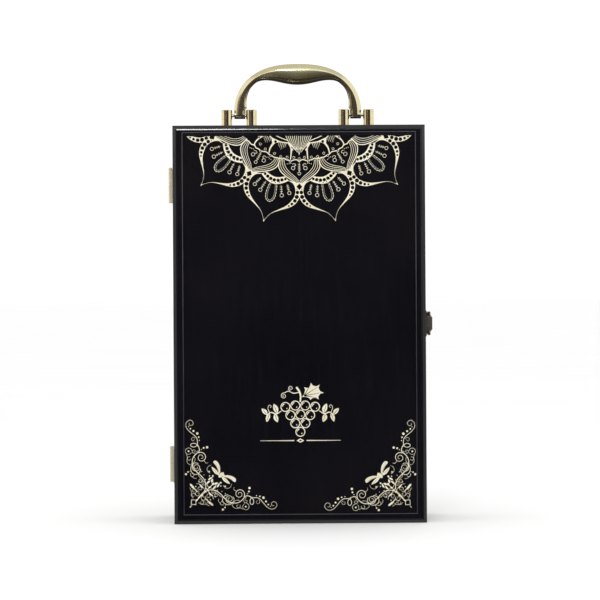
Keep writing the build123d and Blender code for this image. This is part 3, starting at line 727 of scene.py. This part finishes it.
def scroll_corner(d):
    """The knot at the corner: crossing leaves, small spirals and dots."""
    d.stroke([(190.6, 484.6), (193.6, 487.8), (197.6, 491.6)], 4, 0.5, 1)
    d.leaf((195.2, 489.4), (190.2, 483.4), 1.7)
    d.disc((191.4, 485), 1.2, 12)
    d.disc((192.3, 487.4), 0.6, 8)
    d.spiral((198, 493.7), 2.6, 60, 1.1, 0.35, 18, 0.65, 0.4)
    d.spiral((200.4, 488.6), 2.1, 200, -1, 0.4, 18, 0.55, 0.35)
    d.spiral((193.6, 495), 1.9, 0, 0.9, 0.5, 16, 0.55, 0.35)
    d.stroke([(196.6, 483.4), (199.6, 484), (202.4, 486.2), (204.6, 489.2)], 4, 0.5)
    d.stroke([(204.6, 482), (207.2, 484.4), (208.8, 487.6)], 4, 0.6)
    d.disc((196, 486.4), 0.6, 8)
    d.disc((199.2, 481.6), 0.65, 8)
    d.leaf((203.2, 488), (199.4, 483.6), 1.3)
    d.spiral((203.6, 483.4), 2.4, 150, -1, 0.45, 18, 0.55, 0.3)
    d.spiral((194.4, 490.6), 2.2, -30, 0.9, 0.5, 16, 0.55, 0.3)
    d.stroke([(190, 487.6), (191.8, 491.4), (191.6, 495.4), (193.6, 498.2)], 4, 0.45)
    d.leaf((206.6, 484), (210.6, 480.4), 1.5, 0.2)


def scroll_middle(d):
    """What lies on the diagonal itself: the butterfly's body, a stalk and a lozenge."""
    d.disc((221.6, 474.5), 1.75, 14)
    d.disc((212.2, 483.7), 1.3, 12)
    d.disc((208.8, 487.2), 1, 10)
    d.line(local([(212, 484), (198.2, 497.8)]), 0.9, 0.6)
    d.line(local([(204.6, 487.6), (208.2, 491.2)]), 0.9)
    d.leaf((217.6, 477.4), (222.8, 472.2), 3.6)
    x, y = local([(192.8, 502)])[0]
    lozenge = [(x - 2.2, y - 1.9), (x + 1.9, y - 2.2), (x + 2.2, y + 1.9), (x - 1.9, y + 2.2)]
    d.line(lozenge, 0.95, closed=True)
    d.line(local([(189, 507.2), (190.8, 505.4)]), 1, 0.7)
    d.line(local([(194.6, 501.4), (199, 497)]), 1, 0.8)
    for *centre, r in ((201, 495, 1.2), (204.6, 491.4, 1.05), (196.2, 499.8, 0.9)):
        d.disc(centre, r, 10)


half, middle = Drawing(0.58, local), Drawing(0.68, local)
scroll_branch(half)
scroll_wing(half)
scroll_corner(half)
scroll_middle(middle)
CORNER_X = -104.2
for name, way, corner_z in (("foil_scroll_left", 1, 10.9), ("foil_scroll_right", -1, 9.5)):
    whole = Drawing()
    for part, shift, swapped in ((half, 0, False), (half, 1, True), (middle, 1, False)):
        for points, ink in part.shapes:
            turned = [(q, p) if swapped else (p, q) for p, q in points]
            whole.shape([(way * (CORNER_X + shift + p), corner_z + q) for p, q in turned], ink)
    whole.build(name)

# The emblem: a plain bunch of grapes with a leaf, a tendril and vines, over a ruled line
MARK_Z, RULE_Z = 104, 74.0


def placed(points, way=1):
    return [(way * x, MARK_Z + z) for x, z in points]


def grape_bunch(d):
    for x, z in placed([
        (-13.2, 0), (-4.4, 1.2), (4.4, 1.2), (13.2, 0), (-8.8, -7.4), (0, -6.8), (8.8, -7.4),
        (-4.5, -14.6), (4.5, -14.6), (0, -22.2),
    ]):
        d.ring((x, z), 4.4, 0.8, 26)
        turns = [radians(t) for t in range(100, 181, 10)]
        d.line([(x + 2.75 * cos(t), z + 2.75 * sin(t)) for t in turns], 0.3, 0.3, middle=0.95)
        d.disc((x + 1.3, z - 1.4), 0.5, 8)
    d.stroke(placed([(0, 4.4), (0.4, 9), (-0.6, 13.5), (-3.4, 17.6)]), 6, 1.3, 1.8)
    lobes = placed([
        (1.4, 8.6), (4, 13.4), (3.4, 17.6), (7.4, 17), (9.6, 21.4), (13, 18.4), (17.4, 19.6),
        (17, 15.4), (21, 12.4), (17, 10.4), (16.6, 6.6), (12.6, 8), (9, 6), (6.2, 8.4),
    ])
    centre, pull = placed([(10.5, 12.8)])[0], 0.12
    outline = []
    for point, following in zip(lobes, lobes[1:] + lobes[:1]):
        middle = [(a + b) / 2 for a, b in zip(point, following)]
        outline += [point, [m + (c - m) * pull for m, c in zip(middle, centre)]]
    d.shape(outline)
    for vein in ((9.2, 19.6), (15.6, 17.6), (18.8, 12.4), (14.6, 8.2)):
        d.line(placed([(3.4, 9.8), vein]), 0.75, 0.2, ink=False)
    d.stroke(placed([(-0.6, 13), (-6, 12.2), (-10.6, 14), (-14.2, 12.4)]), 6, 0.8, 0.6)
    d.spiral(*placed([(-14.6, 9.9)]), 2.6, 80, 1.6, 0.2, 26, 0.65, 0.35)
    d.spiral(*placed([(-8.4, 16.6)]), 2.3, -100, -1.4, 0.25, 22, 0.6, 0.35)


def vine_spray(d, way):
    """A short vine to one side of the bunch, with four leaves and a curl."""
    vine = [(16.8, -3.5), (21.5, -6.2), (26, -4.8), (30, -7.2)]
    d.stroke(placed(vine, way), 6, 0.6, 0.5, 1)
    for base, tip, width in (
        ((20.6, -5.8), (23.6, 2.8), 4.4), ((22.6, -6), (20.2, -13.6), 4.2),
        ((29.4, -7), (34.4, -1.4), 3.8), ((27.2, -5.4), (30, -13.4), 3.6),
    ):
        base, tip = placed([base, tip], way)
        d.leaf(base, tip, width, 0.3 * way)
        vein = [[a + (b - a) * share for a, b in zip(base, tip)] for share in (0.15, 0.8)]
        d.line(vein, 0.5, 0.2, ink=False)
    tendril = [(27.4, -4.8), (28.8, -0.6), (27.2, 1.8), (25.8, 0.4), (27, -0.8)]
    d.stroke(placed(tendril, way), 5, 0.5, 0.35)


mark = Drawing()
grape_bunch(mark)
for side in (-1, 1):
    vine_spray(mark, side)
mark.build("foil_grapes")
rule = Drawing()
rule.line([(-36, RULE_Z), (-5.5, RULE_Z)], 0.3, 0.9)
rule.line([(5.5, RULE_Z), (36, RULE_Z)], 0.9, 0.3)
for x, z, ink in ((3.4, 1.9, True), (1.6, 0.9, False)):
    rule.shape([(-x, RULE_Z), (0, RULE_Z + z), (x, RULE_Z), (0, RULE_Z - z)], ink)
rule.build("foil_rule")

# ------------ handle
PIN_Z, ARCH_Z = 367.2, 369.8
HALF_SPAN, ARCH_RISE = 57.95, 44.2
ARCH_START, ARCH_STEPS = 7, 120
FOOT_X, FOOT_WIDTH, FOOT_RISES = 52.7, 10.5, (0.4, 4, 5.2)


def handle_section(angle):
    """The place, direction and sizes of the section at an angle of the arch, as in the CAD."""
    side_angle = min(angle, 180 - angle)
    along, up = cos(radians(side_angle)), sin(radians(side_angle))
    way = -1 if angle < 90 else 1
    x = way * HALF_SPAN * along**0.8
    z = ARCH_RISE * up**0.97
    out_x = way * ARCH_RISE * 0.97 * up**0.97 * along**2
    out_z = HALF_SPAN * 0.8 * along**0.8 * up**2
    size = hypot(out_x, out_z)
    out_x, out_z = out_x / size, out_z / size
    leg = 4.6 * cos(radians(90 * min(1, side_angle / 42))) ** 2
    swell = max(0, 1 - (x / 42) ** 2) ** 1.5
    thickness = 7.3 + leg + 11.6 * swell
    depth = 8.0 + 6.0 * max(0, 1 - (x / 46) ** 2) ** 1.5
    middle = (x - out_x * thickness / 2, ARCH_Z + z - out_z * thickness / 2)
    crown = 3.5 + 1.9 * swell
    belly = 2.5 - 0.4 * max(0, 1 - abs(side_angle - 50) / 30) + 1.3 * swell
    lean = 5 + 7 * swell
    return middle, (out_x, out_z), thickness, depth, (crown, belly, lean)


def handle_profile(thickness, depth, crown, belly, lean):
    """Half of the section, from the crown round the front to the belly: (outwards, forwards)."""
    half_t, half_d = thickness / 2, depth / 2
    top, low = half_t - crown, -half_t + belly
    setback = 0.1 + (top - low) * tan(radians(lean)) / 2.5
    points = [
        (half_t - crown * (k / 8) ** 1.75, (half_d - setback) * (k / 8) ** 0.82) for k in range(9)
    ]
    points.append((top - 0.12, half_d - setback + 0.07))
    for k in range(1, 9):
        s = k / 9
        forwards = half_d - 0.03 - (setback - 0.1) * (1 - s) ** 2.5
        points.append((top + (low - top) * s, forwards))
    points += [(low + 0.12, half_d - 0.02), (low - 0.12, half_d - 0.12), (low - 0.3, half_d - 0.34)]
    for k in range(1, 7):
        turn = pi / 2 * (k / 6)
        points.append((low - 0.3 - (belly - 0.3) * sin(turn), (half_d - 0.34) * cos(turn) ** 0.8))
    return points


def add_barrel(bm, x):
    """A foot's barrel along X, with rounded ends and the pin's bore."""
    half = [(4.3, 3.1), (4.62, 3.04), (4.9, 2.85), (5, 2.6), (5, 1.35), (4.9, 1.3)]
    rings = [
        [bm.verts.new((x + along, radius * cos(t), PIN_Z + radius * sin(t))) for t in circle(40)]
        for along, radius in [(-a, r) for a, r in half[::-1]] + half
    ]
    skin(bm, rings + rings[:1])


def build_handle():
    sweep = 180 - 2 * ARCH_START
    stations = [handle_section(ARCH_START + sweep * k / ARCH_STEPS) for k in range(ARCH_STEPS + 1)]
    depth, form = stations[0][3:]
    left, right = [
        [((way * FOOT_X, PIN_Z + rise), (way, 0.0), FOOT_WIDTH, depth, form) for rise in FOOT_RISES]
        for way in (-1, 1)
    ]
    bm = bmesh.new()
    rings = []
    for middle, out, thickness, depth, form in left + stations + right[::-1]:
        half = handle_profile(thickness, depth, *form)
        full = half + [(t, -y) for t, y in half[-2:0:-1]]
        rings.append([
            bm.verts.new((middle[0] + out[0] * t, -y, middle[1] + out[1] * t)) for t, y in full
        ])
    skin_and_cap(bm, rings)
    for way in (-1, 1):
        add_barrel(bm, way * FOOT_X)
    return add_mesh("handle_casting", bm, gold_cast, 32)


handle = build_handle()
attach(handle, "handle")
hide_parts("carry_handle")

# ------------ lacquer edges
FRAME_Y = -56.0
LIP = [(-1.0, -0.1), (-0.95, 0.0), (-0.4, 0.34), (-0.16, 0.34), (0.0, 0.0), (0.0, -0.1)]
ARRIS = [(1.12, 0.2), (0.6, 0.0), (0.58, -0.2), (1.12, -0.2)]


def edge_ring(name, half_x, low, high, profile, material):
    """A mitred ring round a rectangle of the lid's front. Its profile is (inwards, proud)."""
    bm = bmesh.new()
    rings = [
        [bm.verts.new((sx * (half_x - p), FRAME_Y - proud, z + sz * p)) for p, proud in profile]
        for sx, z, sz in ((-1, low, 1), (1, low, 1), (1, high, -1), (-1, high, -1))
    ]
    skin(bm, rings + rings[:1])
    return add_mesh(name, bm, material, 18)


# The frame lip takes the brightened lacquer, a painted highlight along the panel's edge.
for edge in (
    edge_ring("frame_lip", 103.25, 9.0, 348.0, LIP, lacquer_painted_highlight),
    edge_ring("lid_arris", 109.5, 3.0, 352.0, ARRIS, lacquer_z),
):
    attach(edge, "lid")

# ------------ latch
LATCH_Z = 177.5
BAIL_X, BACK_Y, BAR_Y, ARM_Z = 116.85, -12.1, -32.0, 9.6
LUG_LOW, LUG_HIGH = (113.6, -35.6, LATCH_Z - 6.25), (119.4, -33.5, LATCH_Z + 6.25)


def build_bail():
    """The bail's wire: stout arms, a knob at each corner and a thin bar between them."""
    half = [  # (y, height over the latch's middle, radius)
        (BACK_Y, 4.0, 1.15), (BACK_Y, 8.2, 1.15), (BACK_Y - 0.5, 9.2, 1.15),
        (BACK_Y - 1.6, ARM_Z, 1.1), (BAR_Y + 2.4, ARM_Z, 1.0), (BAR_Y + 1.2, ARM_Z, 1.05),
        (BAR_Y + 0.6, ARM_Z, 1.15), (BAR_Y + 0.1, ARM_Z - 0.15, 1.2), (BAR_Y, ARM_Z - 0.8, 1.15),
        (BAR_Y, ARM_Z - 1.4, 0.85), (BAR_Y, ARM_Z - 2.0, 0.5), (BAR_Y, 5.5, 0.5),
    ]
    path = half + [(y, -z, r) for y, z, r in half[::-1]]
    bm = bmesh.new()
    rings = []
    outwards = Vector((1, 0, 0))
    for before, (y, z, r), after in zip(path[:1] + path, path, path[1:] + path[-1:]):
        along = Vector((0, after[0] - before[0], after[1] - before[1])).normalized()
        across = along.cross(outwards)
        middle = Vector((BAIL_X, y, LATCH_Z + z))
        rings.append([
            bm.verts.new(middle + outwards * r * cos(t) + across * r * sin(t)) for t in circle(16)
        ])
    skin_and_cap(bm, rings)
    return add_mesh("latch_wire", bm, bronze, 40)


def build_lug():
    """The catch plate's upstanding lug, in front of the wire's bar."""
    bm = bmesh.new()
    bmesh.ops.create_cube(bm, size=1.0)
    for v in bm.verts:
        v.co = Vector([a if c < 0 else b for c, a, b in zip(v.co, LUG_LOW, LUG_HIGH)])
    outer = [
        e for e in bm.edges
        if all(v.co.x > 118 for v in e.verts) and abs(e.verts[0].co.y - e.verts[1].co.y) > 1
    ]
    bmesh.ops.bevel(bm, geom=outer, offset=1.3, segments=5, affect="EDGES", profile=0.5)
    front = [e for e in bm.edges if all(v.co.y < -35.5 for v in e.verts)]
    bmesh.ops.bevel(bm, geom=front, offset=0.45, segments=3, affect="EDGES", profile=0.5)
    return add_mesh("catch_lug", bm, bronze, 30)


wire, lug = build_bail(), build_lug()
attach(wire, "bail")
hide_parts("latch_bail")
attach(lug, "lid")

# ------------ lid pad
PAD_CORNER, PAD_MARGIN, PAD_EDGE = 7.0, 1.6, 5.0
COLUMNS, ROWS = 44, 72
MOST_RISE, FRAMES = 7.6, 20


def corners(mesh):
    return np.array([v.co[:] for v in mesh.vertices])


def simulated(pad, back_y):
    """The places of the pad's vertices once the cloth is blown up with its back held flat."""
    held = pad.vertex_groups.new(name="held")
    back = [v.index for v in pad.data.vertices if v.co.y < (back_y + 0.5) * MM]
    held.add(back, 1.0, "REPLACE")
    cloth = pad.modifiers.new("cloth", "CLOTH")
    settings = cloth.settings
    settings.vertex_group_mass = "held"
    settings.quality, settings.mass = 6, 0.2
    settings.tension_stiffness, settings.compression_stiffness = 12, 6
    settings.use_pressure, settings.uniform_pressure_force = True, 3.0
    settings.effector_weights.gravity = 0
    cloth.point_cache.frame_start, cloth.point_cache.frame_end = 1, FRAMES
    for number in range(1, FRAMES + 1):
        scene.frame_set(number)
    moved = corners(pad.evaluated_get(bpy.context.evaluated_depsgraph_get()).data)
    pad.modifiers.remove(cloth)
    scene.frame_set(1)
    return moved


def build_pad():
    """Satin over foam: a grid front and back, swollen, with gathers near its edge."""
    low, high = ([v / MM for v in corner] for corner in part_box("lid_pad"))
    back_y, edge_y = low[1] + 0.05, low[1] + PAD_EDGE
    half_x, mid_z = high[0] - PAD_MARGIN, (low[2] + high[2]) / 2
    half_z = (high[2] - low[2]) / 2 - PAD_MARGIN
    flat_x, flat_z = half_x - PAD_CORNER, half_z - PAD_CORNER

    def outline(u, y, v):
        """A grid point of the rectangle with rounded corners."""
        x, z = u * half_x, v * half_z
        over_x, over_z = abs(x) - flat_x, abs(z) - flat_z
        if over_x > 0 and over_z > 0:
            reach, most = hypot(over_x, over_z), max(over_x, over_z)
            x = copysign(flat_x + over_x * most / reach, x)
            z = copysign(flat_z + over_z * most / reach, z)
        return x, y, mid_z + z

    bm = bmesh.new()
    columns = [-1 + 2 * i / COLUMNS for i in range(COLUMNS + 1)]
    rows = [-1 + 2 * j / ROWS for j in range(ROWS + 1)]
    layers = [
        [[bm.verts.new(outline(u, y, v)) for u in columns] for v in rows] for y in (edge_y, back_y)
    ]
    for layer in layers:
        for a, b in zip(layer, layer[1:]):
            for i in range(COLUMNS):
                bm.faces.new([a[i], a[i + 1], b[i + 1], b[i]])
    skin(bm, [
        g[0][:-1] + [row[-1] for row in g[:-1]] + g[-1][:0:-1] + [row[0] for row in g[:0:-1]]
        for g in layers
    ])
    pad = add_mesh("lid_cushion", bm, satin)
    mesh = pad.data
    rest = corners(mesh)
    moved = simulated(pad, back_y)
    shift = moved - rest
    size = np.linalg.norm(shift, axis=1)
    most = MOST_RISE * MM
    shift *= np.where(size > most, most / np.maximum(size, 1e-9), 1.0)[:, None]
    shaped = rest + shift
    # Gathers where the satin is drawn over the edge
    x, z = shaped[:, 0] / MM, shaped[:, 2] / MM - mid_z
    to_side, to_end = half_x - np.abs(x), half_z - np.abs(z)
    run = np.where(to_side < to_end, z, x)
    folds = np.sin(run * 0.62 + 1.3 * np.sin(run * 0.11)) + 0.5 * np.sin(run * 1.27 + 0.7)
    in_front = shaped[:, 1] > (edge_y - 0.5) * MM
    depth = 0.55 * np.exp(-((np.minimum(to_side, to_end) - 5.0) / 7.0) ** 2) * folds
    shaped[:, 1] += np.where(in_front, depth * MM, 0)
    shaped[:, 1] = np.clip(shaped[:, 1], back_y * MM, (high[1] + 0.6) * MM)
    mesh.vertices.foreach_set("co", shaped.ravel())
    mesh.update()
    smoothed = pad.modifiers.new("smooth", "SUBSURF")
    smoothed.levels = smoothed.render_levels = 1
    graph = bpy.context.evaluated_depsgraph_get()
    final = bpy.data.meshes.new_from_object(pad.evaluated_get(graph))
    pad.modifiers.clear()
    pad.vertex_groups.clear()
    pad.data = final
    final.shade_smooth()
    return pad


pad = build_pad()
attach(pad, "lid")
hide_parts("lid_pad")

# ------------ floor, light
FLOOR_RADIUS = 400000
CARD_TARGET = (0, 0, 0.25)
ARC_REACH, ARC_HEIGHT, ARC_WIDTH = 2.2, 0.4, 3.6
SKY = 1.06
BLACK, BROWN, OLIVE = (0.012, 0.011, 0.014), (0.075, 0.058, 0.045), (0.3, 0.295, 0.235)


def floor():
    s = Shader("floor_white", Roughness=0.75)
    colour = s.ramp(s.noise(1.4, 3, 0.5), [(0.3, (0.916,) * 3), (0.7, (0.93,) * 3)])
    bm = bmesh.new()
    bmesh.ops.create_circle(bm, cap_ends=True, segments=96, radius=FLOOR_RADIUS)
    made = add_mesh("floor", bm, s.done(colour))
    made.visible_glossy = False


def facing(centre, target):
    """The placement of a card or a light at centre that faces the target."""
    direction = Vector(target) - Vector(centre)
    turn = direction.to_track_quat("-Z", "Y").to_matrix().to_4x4()
    return Matrix.Translation(centre) @ turn


def card_material(name, height, stops):
    """Emission graded up the card's height by its own object coordinates."""
    s = Shader(name, Base_Color=(0, 0, 0), Emission_Strength=1, Specular_IOR_Level=0)
    split = s.add("SeparateXYZ", Vector=s.coordinates)
    share = s.span(split.outputs["Y"], 0, 1, -height / 2, height / 2)
    return s.done(s.ramp(share, stops), keys=("Emission Color",))


def card(name, centre, width, height, stops):
    """A studio card that only reflections see. Its colours are graded from low to high."""
    bm = bmesh.new()
    bmesh.ops.create_grid(bm, x_segments=1, y_segments=1, size=0.5)
    bmesh.ops.scale(bm, vec=(width / MM, height / MM, 1), verts=bm.verts)
    made = add_mesh(name, bm, card_material(name, height, stops))
    made.matrix_world = facing(centre, CARD_TARGET)
    made.visible_camera = made.visible_diffuse = made.visible_shadow = False
    made.visible_transmission = made.visible_volume_scatter = False


def arc_card(name, low, high, colour):
    """A card over the box between two angles from the front horizon over the top."""
    middle = radians((low + high) / 2)
    centre = (0, -ARC_REACH * cos(middle), ARC_HEIGHT + ARC_REACH * sin(middle))
    height = 2 * ARC_REACH * tan(radians(high - low) / 2)
    card(name, centre, ARC_WIDTH, height, [(0, colour), (1, colour)])


def area(name, centre, target, width, height, radiance):
    data = bpy.data.lights.new(name, "AREA")
    data.shape = "RECTANGLE"
    data.size, data.size_y = width, height
    data.energy = radiance * width * height * pi
    made = bpy.data.objects.new(name, data)
    scene.collection.objects.link(made)
    made.matrix_world = facing(centre, target)


def sky():
    """White to the camera. Reflections see it dark under the level and lighter straight down."""
    scene.world = bpy.data.worlds.new("studio")
    scene.world.use_nodes = True
    s = Nodes(scene.world.node_tree, "Generated")
    background = next(n for n in s.tree.nodes if n.type == "BACKGROUND")
    height = s.add("SeparateXYZ", Vector=s.coordinates).outputs["Z"]
    half = s.add("Math")
    half.operation = "MULTIPLY_ADD"
    for socket, value in zip(half.inputs, (height, 0.5, 0.5)):
        s.put(value, socket)
    levels = ((0, 0.62), (0.1, 0.5), (0.2, 0.05), (0.498, 0.012), (0.4999, SKY), (1, SKY))
    reflected = s.ramp(half.outputs[0], [(place, (level,) * 3) for place, level in levels])
    seen = s.add("LightPath").outputs["Is Camera Ray"]
    s.put(s.mix(seen, reflected, (SKY,) * 3), background.inputs["Color"])


sky()
floor()
card("card_front", (0.65, -3.34, 0.75), 3.03, 2.4, [
    (0.3, BLACK), (0.52, BROWN), (0.78, (0.15, 0.16, 0.14)), (1, (0.25, 0.27, 0.25)),
])
card("card_side_left", (-2.6, 0.1, -0.3), 2.4, 1.6, [
    (0, (0.62, 0.62, 0.62)), (1, (0.58, 0.58, 0.59)),
])
card("card_side_right", (2.6, 0.1, -0.3), 2.4, 1.6, [
    (0, (0.52, 0.52, 0.52)), (1, (0.5, 0.5, 0.51)),
])
card("card_left", (-1.91, -2.44, 0.7), 2.8, 2.2, [
    (0, (0.05, 0.036, 0.03)), (0.5, (0.17, 0.125, 0.1)), (1, (0.3, 0.25, 0.2)),
])
for x, width in ((-0.047, 0.03), (0.012, 0.02), (0.058, 0.024)):
    card("card_stripe", (x, -3.3, 0.95), width, 0.55, [
        (0, BROWN), (0.5, (0.24, 0.24, 0.19)), (1, OLIVE),
    ])
arc_card("card_over", 64, 96, (0.68, 0.67, 0.62))
arc_card("card_back_high", 100, 134, (0.6, 0.57, 0.5))
arc_card("card_back_low", 138, 174, (0.6, 0.58, 0.54))
area("key", (-0.155, -1.40, 1.70), (0, 0, 0.355), 0.27, 0.16, 42)
area("top_fill", (0.1, -0.9, 2.6), (0, 0, 0.2), 1.6, 1, 1)
